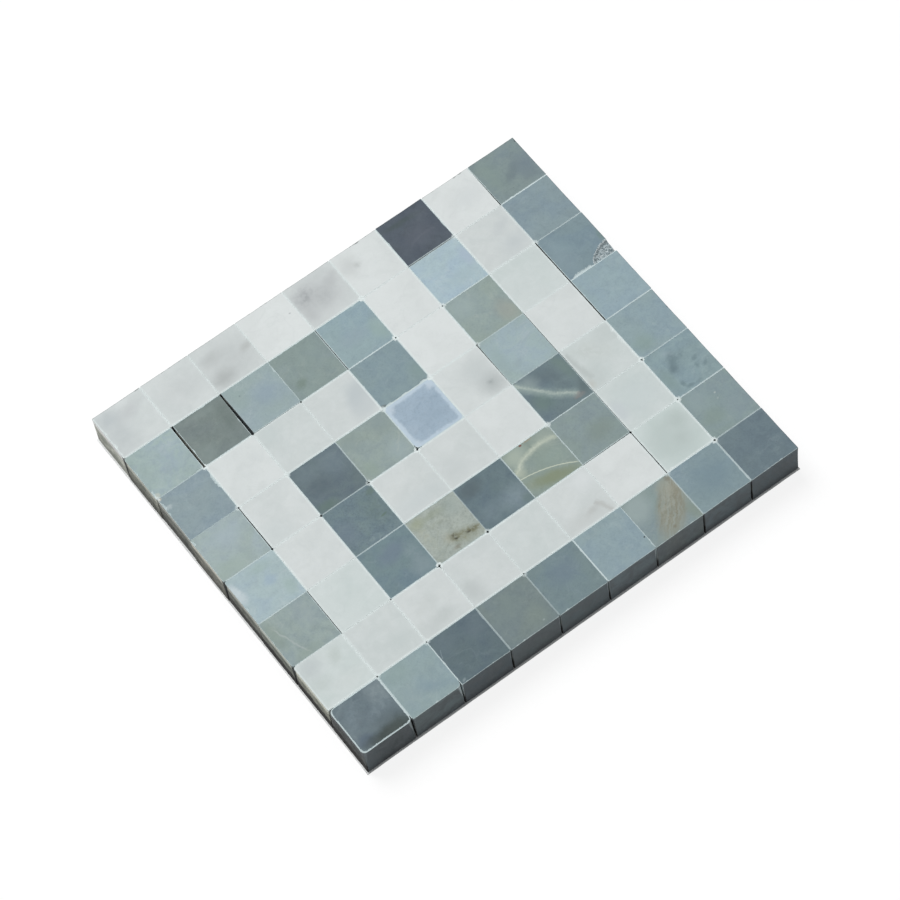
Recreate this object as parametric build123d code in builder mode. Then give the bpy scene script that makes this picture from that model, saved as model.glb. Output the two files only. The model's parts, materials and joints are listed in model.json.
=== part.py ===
from build123d import *
import os

# A corner tile of a key-pattern border: sawn marble chips on a net of coated glass fibre.
# The origin is on the floor under the middle of the tile. +Z is up, +X runs along the chip
# rows and +Y along the chip columns, away from the outer corner of the pattern.

# The key pattern, back row first. G is a grey chip and W is a white one.
pattern = [
    "WWWWWWGWG",
    "GGGGGWGWG",
    "GWWWGWGWG",
    "GWGGGWGWG",
    "GWGWWWGWG",
    "GWGGGGGWG",
    "WWWWWWWWG",
    "GGGGGGGGG",
]

# Chips, in millimetres
chip_side = 15.0
chip_thickness = 11.0
joint = 0.25
arris = 0.15
chip_corner = 0.3

# The net under them
net_thickness = 0.6
net_pitch = 6.8
strand_width = 0.9
edge_strand_width = 1.6
net_overhang = 0.4

# Top corners that are worn round on the first two chips: how far the wear runs along the sides
# and down the upright edge.
wear_length = 1.5
wear_depth = 7.0

# One chip of the last column has a corner broken off: how far the break runs along the joint,
# along the outer side, and down.
break_along_joint = 7.0
break_along_side = 4.2
break_depth = 1.4

# Chips that sit off the middle of their place, as shares of the joint. Under a half, two
# neighbours can't meet. Chips are given as (row, column), counted from 1 at the outer corner.
most_shift = 0.45
shifts = {
    (8, 7): (0.0, 0.9),
    (8, 8): (-0.5, 0.0),
    (8, 9): (0.5, 0.0),
    (7, 1): (-1.0, 0.0),
    (7, 2): (-0.2, 0.3),
    (7, 3): (1.0, 0.5),
    (7, 4): (-0.5, 0.0),
    (7, 5): (0.5, 0.0),
    (7, 7): (0.0, -0.3),
    (6, 1): (0.4, 0.0),
    (6, 8): (-0.9, 0.0),
    (6, 9): (0.9, 0.2),
    (5, 1): (-0.9, 0.0),
    (5, 2): (0.6, 0.0),
    (5, 6): (-0.9, 0.0),
    (5, 7): (-0.9, 0.0),
    (5, 8): (-0.9, 0.0),
    (5, 9): (0.9, 0.0),
    (4, 7): (-0.5, 0.0),
    (4, 8): (0.3, 0.0),
    (3, 1): (-0.5, 0.0),
    (3, 2): (0.5, 0.0),
    (3, 7): (-0.5, 0.9),
    (3, 8): (0.4, 0.0),
    (2, 1): (-0.3, 0.0),
    (2, 7): (-0.8, -0.4),
    (2, 8): (0.8, 0.0),
    (1, 1): (-0.6, -0.6),
    (1, 2): (0.3, 0.1),
    (1, 3): (-0.5, -0.3),
    (1, 4): (0.4, 0.0),
    (1, 5): (0.8, 0.1),
    (1, 6): (0.9, 0.0),
    (1, 7): (-0.6, -0.2),
    (1, 8): (-0.1, 0.0),
    (1, 9): (0.8, -0.3),
}

rows = len(pattern)
columns = len(pattern[0])
pitch = chip_side + joint
width = columns * pitch - joint
length = rows * pitch - joint
net_width = width + 2 * net_overhang
net_length = length + 2 * net_overhang
top = net_thickness + chip_thickness

os.makedirs("parts", exist_ok=True)


def chip_centre(row, column):
    """The middle of a chip's place in plan, with the chip's own shift."""
    shift_x, shift_y = shifts.get((row, column), (0.0, 0.0))
    x = (column - (columns + 1) / 2) * pitch + shift_x * most_shift * joint
    y = (row - (rows + 1) / 2) * pitch + shift_y * most_shift * joint
    return (x, y)


def corner_cut(row, column, side_x, side_y, along_x, along_y, depth):
    """The plane that takes off one top corner of a chip, facing out of the stone.

    side_x and side_y, each 1 or -1, say which corner. The plane meets the chip's outline
    at along_x and along_y from that corner, and its upright edge at depth below the top.
    """
    x, y = chip_centre(row, column)
    on_edge_x = x + side_x * (chip_side / 2 - along_x)
    normal = (side_x / along_x, side_y / along_y, 1 / depth)
    return Plane(origin=(on_edge_x, y + side_y * chip_side / 2, top), z_dir=normal)


def make_chips(name, places, cuts=()):
    """One node: the chips at these places, less what the cut planes take off."""
    with BuildPart() as chips:
        with BuildSketch(Plane.XY.offset(net_thickness)) as outline:
            with Locations(*[chip_centre(row, column) for row, column in places]):
                Rectangle(chip_side, chip_side)
            chamfer(outline.vertices(), chip_corner)
        extrude(amount=chip_thickness)
        chamfer(chips.edges().group_by(Axis.Z)[-1], arris)
        for cut in cuts:
            split(bisect_by=cut, keep=Keep.BOTTOM)
    chips.part.label = name
    export_step(chips.part, "parts/" + name + ".step")


# Grey chips: each is a different stone, and a node of its own
worn = (wear_length, wear_length, wear_depth)
cuts_by_place = {
    (1, 1): [corner_cut(1, 1, x, y, *worn) for x, y in [(-1, -1), (1, -1), (-1, 1)]],
    (1, 2): [corner_cut(1, 2, 1, -1, *worn)],
    (6, 9): [corner_cut(6, 9, 1, -1, break_along_joint, break_along_side, break_depth)],
}
for row, letters in enumerate(reversed(pattern), start=1):
    for column, letter in enumerate(letters, start=1):
        if letter == "G":
            name = f"grey_chip_r{row}_c{column}"
            make_chips(name, [(row, column)], cuts_by_place.get((row, column), ()))

# White chips: alike, so one node holds those of a row
for row, letters in enumerate(reversed(pattern), start=1):
    places = [(row, column) for column, letter in enumerate(letters, start=1) if letter == "W"]
    if places:
        make_chips(f"white_chips_r{row}", places)

# Net: strands both ways, fused where they cross, inside a strand round the edge
strands_x = 2 * round(net_width / net_pitch / 2)
strands_y = 2 * round(net_length / net_pitch / 2)
inner_width = net_width - edge_strand_width
inner_length = net_length - edge_strand_width
with BuildPart() as mesh_backing:
    with BuildSketch():
        Rectangle(net_width, net_length)
        Rectangle(net_width - 2 * edge_strand_width, net_length - 2 * edge_strand_width, mode=Mode.SUBTRACT)
        with GridLocations(inner_width / strands_x, 0, strands_x - 1, 1):
            Rectangle(strand_width, inner_length)
        with GridLocations(0, inner_length / strands_y, 1, strands_y - 1):
            Rectangle(inner_width, strand_width)
    extrude(amount=net_thickness)
mesh_backing.part.label = "mesh_backing"
export_step(mesh_backing.part, "parts/mesh_backing.step")
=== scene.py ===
import functools
import json
import math
import random

import bpy
from mathutils import Matrix, Vector, noise


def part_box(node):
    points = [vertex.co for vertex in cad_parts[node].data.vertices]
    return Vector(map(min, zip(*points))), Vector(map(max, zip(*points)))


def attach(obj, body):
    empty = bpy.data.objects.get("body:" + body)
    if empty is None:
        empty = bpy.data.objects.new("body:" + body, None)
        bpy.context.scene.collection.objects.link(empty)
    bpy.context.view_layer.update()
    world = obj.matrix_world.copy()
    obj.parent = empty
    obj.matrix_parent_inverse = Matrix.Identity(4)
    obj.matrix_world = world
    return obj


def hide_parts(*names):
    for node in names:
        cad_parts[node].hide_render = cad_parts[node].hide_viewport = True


# A corner tile of a key-pattern border: sawn marble chips on a woven net. Lengths here are in
# millimetres and turn into metres where a mesh is made. Rows and columns of chips are counted
# from 1 at the outer corner of the pattern.

MM = 0.001
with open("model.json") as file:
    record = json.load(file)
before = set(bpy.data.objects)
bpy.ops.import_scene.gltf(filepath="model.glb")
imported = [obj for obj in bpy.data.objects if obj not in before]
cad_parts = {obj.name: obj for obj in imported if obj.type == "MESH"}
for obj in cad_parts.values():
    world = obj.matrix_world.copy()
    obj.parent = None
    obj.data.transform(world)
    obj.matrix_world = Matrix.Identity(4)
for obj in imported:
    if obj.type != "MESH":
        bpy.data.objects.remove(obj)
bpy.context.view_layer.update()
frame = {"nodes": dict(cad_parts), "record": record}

ROWS = 8
COLUMNS = 9
PITCH = 15.25
NET = "mesh_backing"
# The stone of each chip, front row first: a letter of the palette for a grey one, a dot for white
LAYOUT = [
    "adbocdina",
    "........i",
    "j.ckbji.d",
    "e.c...b.d",
    "g.bjf.g.d",
    "n...n.j.c",
    "ghgid.e.n",
    "......m.o",
]
# The sides and corners of a chip in the order of its outline
SIDES = "SENW"
CORNERS = ("SW", "SE", "NE", "NW")
OUT = {"S": Vector((0, -1)), "E": Vector((1, 0)), "N": Vector((0, 1)), "W": Vector((-1, 0))}


def linear(colour):
    """A colour given as sRGB 0 to 255, as the linear values that shaders take."""
    values = []
    for c in colour:
        c = min(max(c, 0.0), 255.0) / 255
        values.append(c / 12.92 if c <= 0.04045 else ((c + 0.055) / 1.055) ** 2.4)
    return (*values, 1.0)


def toned(colour, by, tint=(0, 0, 0)):
    """A colour made lighter or darker, with a tint added."""
    return tuple(c * by + t for c, t in zip(colour, tint))


# Where the chips are: (row, column) to the box in plan
places = {}
for name, node in frame["nodes"].items():
    if name == NET:
        continue
    for vertex in node.data.vertices:
        x = vertex.co.x / MM
        y = vertex.co.y / MM
        place = (math.floor(y / PITCH + ROWS / 2) + 1, math.floor(x / PITCH + COLUMNS / 2) + 1)
        x0, y0, x1, y1 = places.get(place, (1e9, 1e9, -1e9, -1e9))
        places[place] = (min(x0, x), min(y0, y), max(x1, x), max(y1, y))
lowest = min(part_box(n)[0].z for n in frame["nodes"] if n != NET) / MM
highest = max(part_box(n)[1].z for n in frame["nodes"] if n != NET) / MM

# Small holes at crossings, where corners of chips are knocked off: (column line, row line) to
# how far the break runs along the sides. The other crossings are closed.
holes = {
    (2, 4): 0.26, (4, 2): 0.22, (3, 2): 0.16, (4, 4): 0.14, (0, 4): 0.5, (0, 2): 0.45, (0, 7): 0.3,
    (8, 3): 0.1, (8, 2): 0.07, (8, 1): 0.16, (3, 6): 0.14, (1, 1): 0.05, (2, 1): 0.04, (2, 2): 0.06,
    (3, 4): 0.04, (4, 1): 0.05, (5, 6): 0.08, (6, 6): 0.05, (6, 5): 0.06, (1, 4): 0.12, (1, 5): 0.08,
    (2, 6): 0.1, (7, 2): 0.08,
}
# Crossings with crushed white stone round them: (column line, row line) to how much, 0 to 1
crushed_white = {
    (8, 3): 0.95, (8, 2): 0.8, (8, 1): 0.8, (4, 4): 0.95, (3, 2): 0.95, (4, 2): 0.5, (2, 1): 0.4,
    (1, 1): 0.35, (1, 6): 0.95, (5, 7): 0.95, (5, 6): 0.95, (6, 6): 0.6, (5, 5): 0.9, (1, 5): 0.5,
    (3, 4): 0.5, (4, 1): 0.4, (0, 6): 0.7, (6, 3): 0.6, (2, 5): 0.6, (6, 5): 0.4, (4, 5): 0.5, (8, 6): 0.5,
    (7, 1): 0.3, (7, 7): 0.6,
}
# Corners of single chips that are worn round or knocked off: (row, column, corner) to the radius
worn = {
    (1, 1, "SW"): 1.5, (1, 1, "SE"): 1.5, (1, 1, "NW"): 1.6, (1, 2, "SE"): 1.5, (1, 2, "SW"): 0.5,
    (1, 3, "SW"): 0.15, (1, 3, "SE"): 0.3, (1, 4, "SE"): 0.3, (1, 5, "SE"): 0.4, (1, 6, "SE"): 0.4,
    (5, 5, "SW"): 1.4, (5, 5, "SE"): 1.2, (5, 5, "NE"): 1.5, (5, 5, "NW"): 1.3, (3, 1, "SW"): 0.7,
    (2, 1, "NW"): 0.6, (2, 3, "NE"): 0.85, (5, 3, "SE"): 0.6, (3, 9, "NW"): 0.35, (7, 1, "NW"): 0.6,
    (8, 1, "SW"): 0.4,
}
# Open joints that read dark: the joint on that side of the chip, to its width at the front or
# left end and at the other end
open_joints = {"E": {
    (7, 1): (0.56, 0.62), (7, 2): (0.82, 0.52),
}, "N": {}}
# What lies in the filled joints, at the front or left end and at the other end: from 0 to 1 for
# pale dust, and below 0 a dark gap in the middle, wider the lower. The rest hold some dust.
dusty_joints = {"E": {
    (1, 1): (0.5, 0.4), (1, 2): (0.9, 0.7), (1, 3): (0.25, 0.35), (1, 4): (0.15, 0.3), (1, 5): (0.9, 0.7),
    (1, 6): (0.6, 0.5), (1, 7): (0.3, 0.3), (1, 8): (0.5, 0.4), (7, 3): (0.4, 0.5), (5, 4): (0.6, 0.7),
    (5, 3): (0.35, 0.4), (3, 3): (0.45, 0.35), (3, 4): (0.1, 0.25), (3, 5): (0.4, 0.45),
    (3, 6): (0.45, 0.4), (7, 4): (-0.8, -0.7), (8, 8): (-1.1, 0.4), (5, 7): (-0.6, -0.5),
    (4, 7): (-0.4, -0.5), (3, 7): (-0.5, -0.4), (5, 6): (-0.3, -0.9), (2, 7): (-0.95, -0.9),
    (3, 1): (-0.75, -0.65), (4, 8): (0.7, 0.8), (5, 1): (-1.15, -0.9), (6, 8): (-1.15, -1.35),
    (5, 8): (-1.4, -1.2), (7, 8): (0.5, 0.5),
}, "N": {
    (7, 9): (0.9, 1), (6, 9): (0.3, 0.4), (5, 9): (0.7, 0.7), (4, 9): (0.5, 0.7), (3, 9): (0.35, 0.35),
    (2, 9): (0.5, 0.7), (1, 9): (0.3, 0.35), (6, 1): (0.35, 0.3), (5, 1): (0.1, 0.1), (4, 1): (0.4, 0.5),
    (3, 1): (0.5, 0.5), (2, 1): (0.4, 0.4), (6, 5): (0.8, 0.8), (5, 5): (0.9, 0.9), (4, 3): (0.3, 0.4),
    (3, 3): (0.35, 0.5), (3, 7): (0.7, 0.6), (4, 7): (0.3, 0.3), (5, 7): (0.3, 0.3), (6, 7): (0.7, 0.7),
    (6, 3): (-0.35, -0.3), (7, 7): (-0.8, -0.5), (2, 7): (-0.5, -0.7), (5, 6): (0.5, 0.5),
}}
# Upright edges of the front row, and the joints beside them, that are crushed pale with a painted
# highlight, from 0 to 1. Inside the joints the pale is painted light over shade.
pale_uprights = {
    (1, 1, "SE"): 0.5, (1, 2, "SE"): 1, (1, 3, "SE"): 0.6, (1, 4, "SE"): 0.7, (1, 5, "SE"): 0.8,
    (1, 6, "SE"): 1, (1, 8, "SE"): 0.3, (1, 2, "SW"): 0.1, (1, 3, "SW"): 1, (1, 4, "SW"): 0.25,
    (1, 5, "SW"): 0.45, (1, 6, "SW"): 0.5, (1, 7, "SW"): 0.9, (1, 1, "SW"): 0.15,
}
# How pale the arrises along the tile's outer sides are; the pale ones are crushed stone with a
# painted highlight. Less than 0 is dark: painted shade.
outer_pale = {"S": 0.75, "W": 0.7, "N": -0.5, "E": -0.5}
# Arrises that are flaked wider than the rest: (row, column, side) to stretches along that side,
# each from, to and how wide, in millimetres from the middle of the chip
flaked = {
    (6, 1, "E"): [(0.2, 5.2, 0.5)], (6, 1, "W"): [(1.2, 2.6, 0.4), (3.6, 6.6, 0.5)],
    (5, 1, "W"): [(5.6, 7.6, 0.6)], (8, 1, "W"): [(-4.4, -2.6, 0.5), (0.8, 2.6, 0.4)],
    (4, 8, "E"): [(-6.5, -3.6, 0.2), (-1, 2.2, 0.4), (3.6, 5.4, 0.45)], (6, 8, "E"): [(-8, 2, 0.12)],
    (6, 9, "S"): [(-6.6, -0.2, 0.62)], (1, 3, "S"): [(-6.6, -5.6, 0.2)], (7, 2, "E"): [(-8, 0, 0.08)],
    (7, 1, "W"): [(-7.4, -4.8, 0.55), (1, 3, 0.3)], (7, 1, "S"): [(5, 8, 0.4)],
    (7, 3, "E"): [(4, 6, 0.3), (-1, 0.6, 0.2)],
    (6, 5, "S"): [(-6.6, -4.6, 0.3), (-1.6, 0.6, 0.2), (4.6, 6.8, 0.4)],
}
# The same for whole sides: how wide
for key, wide in {
    (1, 1, "S"): 0.28, (1, 1, "W"): 0.28, (1, 1, "E"): 0.2, (1, 1, "N"): 0.15, (6, 9, "W"): 0.08,
    (5, 9, "W"): 0.12, (8, 7, "S"): 0.14, (3, 7, "S"): 0.08, (7, 1, "E"): 0.14, (7, 2, "W"): 0.1,
    (7, 4, "E"): 0.1, (7, 5, "W"): 0.12, (5, 1, "E"): 0.1, (5, 2, "W"): 0.14, (2, 7, "E"): 0.1,
    (7, 3, "S"): 0.06, (3, 1, "E"): 0.06,
}.items():
    flaked[key] = [(-8, 8, wide)]
# How the white chips of each row are, from -1 for greenish past 0 for dull to 1 for bright
tones = {
    2: (-0.6, -0.15, 0.1, 0, -0.2, 0.2, 0.95, -1), 3: (-0.6, -0.5), 4: (0.5, 0.1, 0.1, 0.8, -0.3),
    5: (0.3, 0.45, 0.6), 6: (0.6, -0.1, 0.1, 1, -0.45), 7: (0.9, 0), 8: (0.1, 0.1, 0, 1, 0.1, 0.8, 1),
}
# The left side of each row: how it is sawn and stained, how much lighter it is near the top, how
# black the painted shade at its foot is, and which upper corner (1 at the back, -1 at the front)
# has a dark wedge
left_sides = {
    1: ((84, 84, 83), 1.15, 0.97, 0), 2: ((146, 146, 134), 1.65, 0.98, 1),
    3: ((126, 128, 119), 1.8, 0.98, -1), 4: ((124, 124, 115), 1.65, 0.8, 1),
    5: ((136, 134, 124), 1.75, 0.4, -1), 6: ((122, 122, 114), 1.6, 0.55, 0),
    7: ((144, 144, 133), 1.5, 0.45, 1), 8: ((194, 195, 184), 1.35, 0.15, -1),
}


def beyond(place, side):
    """The place next to a chip on that side."""
    return (place[0] + int(OUT[side].y), place[1] + int(OUT[side].x))


def is_white(place):
    return place in places and LAYOUT[place[0] - 1][place[1] - 1] == "."


def joint_width(place, side):
    """The joint on that side of a chip, or None at the tile's edge."""
    other = places.get(beyond(place, side))
    if other is None:
        return None
    x0, y0, x1, y1 = places[place]
    return {"E": other[0] - x1, "W": x0 - other[2], "N": other[1] - y1, "S": y0 - other[3]}[side]


def of_joint(table, place, side):
    """What a table says of the joint beyond that side, or None."""
    if side in "WS":
        place = beyond(place, side)
        side = {"W": "E", "S": "N"}[side]
    return table[side].get(place)


# Meshes

def add_object(name, data):
    made = bpy.data.objects.new(name, data)
    bpy.context.scene.collection.objects.link(made)
    return made


class Builder:
    """Collects a mesh, in millimetres, with the values that its material reads at each point."""

    def __init__(self):
        self.points = []
        self.faces = []
        self.values = []

    def point(self, x, y, z, **values):
        self.points.append((x * MM, y * MM, z * MM))
        self.values.append(values)
        return len(self.points) - 1

    def loop(self, a, b, across=False):
        """Quads between two closed rings of the same length, begun along a ring or across."""
        for i in range(len(a)):
            j = (i + 1) % len(a)
            self.faces.append((a[i], b[i], b[j], a[j]) if across else (a[i], a[j], b[j], b[i]))

    def fan(self, ring, centre):
        for i in range(len(ring)):
            self.faces.append((ring[i], ring[(i + 1) % len(ring)], centre))

    def make(self, name, material, slot, node, smooth=False):
        mesh = bpy.data.meshes.new(name)
        mesh.from_pydata(self.points, [], self.faces)
        mesh.validate()
        for key, first in self.values[0].items():
            held = [values[key] for values in self.values]
            if isinstance(first, tuple):
                attribute = mesh.attributes.new(key, "FLOAT_VECTOR", "POINT")
                attribute.data.foreach_set("vector", [c for v in held for c in v])
            else:
                attribute = mesh.attributes.new(key, "FLOAT", "POINT")
                attribute.data.foreach_set("value", held)
        if smooth:
            mesh.shade_smooth()
        else:
            mesh.shade_flat()
        mesh.materials.append(material)
        piece = add_object(name, mesh)
        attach(piece, "root")
        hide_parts(node)


def wave(p, scale, seed):
    """Smooth noise at a point in plan, from -1 to 1."""
    return noise.noise(Vector((p.x * scale, p.y * scale, seed)))


def rounded(b, along, turn, radius, t):
    """A point on the curve that rounds the corner b, from the side along to the side turn."""
    a, c = b - along * radius, b + turn * radius
    return a * (1 - t) ** 2 + b * 2 * t * (1 - t) + c * t ** 2


CHIP_HALF = 7.5
UPRIGHT = 7.0  # how far down the wear of a corner runs
# The sides of a chip, from the foot: depth below the top, inset, on the ledge, and how much the
# arris wanders. The last rings are the arris.
SIDE_RINGS = [
    (7.0, 0.02, False, 0.0), (3.5, 0.02, False, 0.0), (1.0, 0.0, False, 0.0), (0.6, 0.0, True, 0.0),
    (0.08, 0.0, True, 0.0), (0.03, 0.0, True, 0.0), (0.025, 0.0, False, 0.10), (0.012, 0.005, False, 0.6),
    (0.0, 0.02, False, 1.0),
]
BREAK_RING = (1.9, 0.0, False, 0.0)  # below a broken corner
STATIONS = [0.0, 0.003, 0.009] + [i / 38 for i in range(1, 38)] + [0.991, 0.997, 1.0]


def add_chip(builder, place, top_rings=(0.30, 0.9, 2.6, 5.2), lowered=None, softness=1.0, tone=0.0):
    """Adds one chip: sawn sides, a crushed arris and a flat top.

    A closed joint is filled by a narrow ledge just below the top, which reaches the middle of
    the joint. lowered, if given, says how far the top is broken away at a point in plan.
    """
    row, column = place
    x0, y0, x1, y1 = places[place]
    rng = random.Random(row * 100 + column)
    shift = Vector([rng.uniform(-400, 400) for _ in range(3)])
    seed = rng.uniform(0, 90)
    centre = Vector(((column - (COLUMNS + 1) / 2) * PITCH, (row - (ROWS + 1) / 2) * PITCH))

    # For each side: how far its ends stand out (trimmed) and how far the ledge does, at the front
    # or left end and at the other, and the dust and the gap at the two ends along the outline
    trimmed, ledge, fill, gap, pale = {}, {}, {}, {}, {}
    filled_sides = ""
    for side in SIDES:
        width = joint_width(place, side)
        wanted = of_joint(open_joints, place, side)
        uneven = (-rng.uniform(0, 0.012), -rng.uniform(0, 0.012))
        whites = is_white(place) + is_white(beyond(place, side))
        middling = rng.uniform(0.25, 0.45) + (0.0, 0.35, 0.05)[whites]
        trimmed[side] = ledge[side] = fill[side] = gap[side] = (0.0, 0.0)
        if width is None:
            pale[side] = outer_pale[side]
        elif wanted:
            trimmed[side] = [-max((w - width) / 2, 0.0) for w in wanted]
            pale[side] = 0.85
        else:
            filled_sides += side
            trimmed[side] = uneven
            holds = of_joint(dusty_joints, place, side) or (middling, middling)
            ledge[side] = [max(width / 2 - 0.003 - 0.12 * max(-v, 0.0), 0.01) for v in holds]
            if side in "NW":
                holds = holds[::-1]
            gap[side] = [max(-v, 0.0) for v in holds]
            fill[side] = [v if v >= 0 else min(-1.5 * v, 0.5) for v in holds]
            pale[side] = max(sum(fill[side]) / 2, 0.25)
        if place == (1, 1):
            pale[side] = 1.0

    def stand_out(key, by):
        """A corner of the chip, moved out by what its two sides say for that end."""
        ns, ew = key
        return Vector((
            (x1 if ew == "E" else x0) + OUT[ew].x * by[ew][ns == "N"],
            (y1 if ns == "N" else y0) + OUT[ns].y * by[ns][ew == "E"],
        ))

    corner = {key: stand_out(key, trimmed) for key in CORNERS}
    cell = {key: stand_out(key, ledge) for key in CORNERS}
    radius = {}
    closed = {}
    for key in CORNERS:
        line = (column - (key[1] == "W"), row - (key[0] == "S"))
        radius[key] = worn.get((row, column, key), holes.get(line, 0.10) * rng.uniform(0.8, 1.15))
        closed[key] = key[0] in filled_sides and key[1] in filled_sides and line not in holes

    # The outline in plan: (point, the same without wear, on the ledge, side, pale upright, fill, gap)
    outline = []
    for n, side in enumerate(SIDES):
        start, end, last = (CORNERS[(n + i) % 4] for i in range(3))
        after = SIDES[(n + 1) % 4]
        a, b = corner[start], corner[end]
        along = (b - a).normalized()
        turn = (corner[last] - b).normalized()
        sharp_start = min(radius[start], 0.2)
        sharp_end = min(radius[end], 0.2)
        axis = int(side in "NS")
        for t in STATIONS:
            p = (a + along * radius[start]).lerp(b - along * radius[end], t)
            deep = (a + along * sharp_start).lerp(b - along * sharp_end, t)
            bow = 0.03 * (1 + wave(p, 0.35, seed)) * min(t, 1 - t) * 4
            p = p - OUT[side] * min(bow, 0.015 if side in filled_sides else 0.05)
            gap_here = gap[side][0] + (gap[side][1] - gap[side][0]) * t
            shelf = None
            if side in filled_sides:
                share = 1.0
                for key in (start, end):
                    if not closed[key]:
                        share = min(share, max((p - corner[key]).length - radius[key], 0.0) / 0.035)
                wavering = 0.035 * wave(p, 0.7, 50.0) * min(t, 1 - t, 0.1) * 10 * min(gap_here, 1.0)
                shelf = p.copy()
                shelf[axis] += (cell[start].lerp(cell[end], t)[axis] + wavering - p[axis]) * share
            upright = pale_uprights.get((row, column, "S" + side), 0.0) * min(max(2.2 - (p.y - y0), 0.0), 1.0)
            filled = fill[side][0] + (fill[side][1] - fill[side][0]) * t
            outline.append((p, deep, shelf, side, upright, filled, gap_here))
        steps = 4 if radius[end] < 0.9 else 9
        for i in range(1, steps):
            t = i / steps
            p = rounded(b, along, turn, radius[end], t)
            deep = rounded(b, along, turn, sharp_end, t)
            shelf = None
            if closed[end]:
                shelf = (b + (along if t <= 0.5 else turn) * radius[end] * (2 * t - 1)) + (cell[end] - b)
                axis = int((side if t <= 0.5 else after) in "NS")
                shelf[axis] = cell[end][axis]
            to_joint = t if end[1] == "E" else 1 - t
            upright = pale_uprights.get((row, column, end), 0.1) * min(to_joint * 4, (1 - to_joint) * 3, 1.0)
            filled = fill[side][1] + (fill[after][0] - fill[side][1]) * t
            first_half = t < 0.5
            gap_here = gap[side][1] if first_half else gap[after][0]
            outline.append((p, deep, shelf, side if first_half else after, upright, filled, gap_here))

    def how_crushed(p, side):
        """How far the arris is crushed or flaked away at a point of the outline."""
        ragged = 0.012 * (1 + wave(p, 1.7, seed)) + 0.012 * wave(p, 4.5, seed + 7)
        bite = max(0.0, wave(p, 0.8, seed + 20) - 0.36) * 0.5
        if joint_width(place, side) is None:
            ragged *= 4.0
            bite *= 2.0
        local = (p - centre)[int(side in "EW")]
        for start, stop, size in flaked.get((row, column, side), ()):
            share = min(max(local - start, 0.0) / 0.5, max(stop - local, 0.0) / 0.5, 1.0)
            bite += size * share * (0.9 + 0.6 * wave(p, 2.2, seed + 31))
        return max(0.0, ragged + bite)

    height = highest - lowest
    middle = Vector(((x0 + x1) / 2, (y0 + y1) / 2))
    profile = [(height, 0.28, False, 0.0), (height - 0.25, 0.0, False, 0.0)] + SIDE_RINGS
    if lowered:
        profile.insert(4, BREAK_RING)
    crushing = [how_crushed(p, side) for p, _, _, side, *_ in outline]
    rings = []
    for depth, inset, on_ledge, wander in profile:
        ring = []
        for (p, deep, shelf, side, upright, filled, gap_here), crush in zip(outline, crushing):
            crushed = crush * wander * softness
            inwards = inset * (softness if wander else 1.0) + crushed
            if 1.0 <= depth < height:
                inwards += 0.03 * (1 + wave(p, 0.5, depth * 0.4 + seed))
            q = p.lerp(deep, min(depth / UPRIGHT, 1.0))
            q = middle + (q - middle) * (1 - inwards / CHIP_HALF)
            if on_ledge and shelf is not None:
                q = shelf
            z = highest - depth
            if 0 < depth < 0.03:
                z -= min(0.3 * crushed, 0.06)
            dust = filled if 0.02 < depth < 0.7 else 0.0
            if gap_here and 0.05 < depth < 0.7:
                dust = -min(4 * gap_here, 1.0)
            ring.append((q.x, q.y, z, side, upright, -depth if depth > 0.027 else 0.0, dust))
        rings.append(ring)
    rim = rings[-1]
    for inset in top_rings:
        ring = []
        for x, y, z, side, upright, _, _ in rim:
            q = middle + (Vector((x, y)) - middle) * (1 - inset / CHIP_HALF)
            ring.append((q.x, q.y, highest, side, upright, inset, 0.0))
        rings.append(ring)

    def add_point(x, y, z, side, upright, edge, dust=0.0):
        lower = lowered(x, y) if lowered else 0.0
        depth = highest - z
        broken = bool(lower) and depth < lower + 0.02 * (12 - depth)
        if broken:
            z = highest - lower - 0.02 * depth
        nearest = (column - (x <= centre.x), row - (y <= centre.y))
        return builder.point(
            x, y, z,
            chip=(x - centre.x, y - centre.y, z - highest),
            quarry=(x + shift.x, y + shift.y, z + shift.z),
            edge=edge,
            pale=pale[side],
            dust=dust,
            upright=upright,
            tone=tone,
            crumb=crushed_white.get(nearest, 0.0),
            cell=float(column),
            broken=float(broken and lower > 0.03),
        )

    made = [[add_point(*p) for p in ring] for ring in rings]
    for below, above in zip(made, made[1:]):
        builder.loop(below, above)
    builder.fan(made[-1], add_point(middle.x, middle.y, highest, "S", 0.0, 7.0))
    builder.fan(made[0][::-1], add_point(middle.x, middle.y, lowest, "S", 0.0, -height))


# Materials

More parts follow.
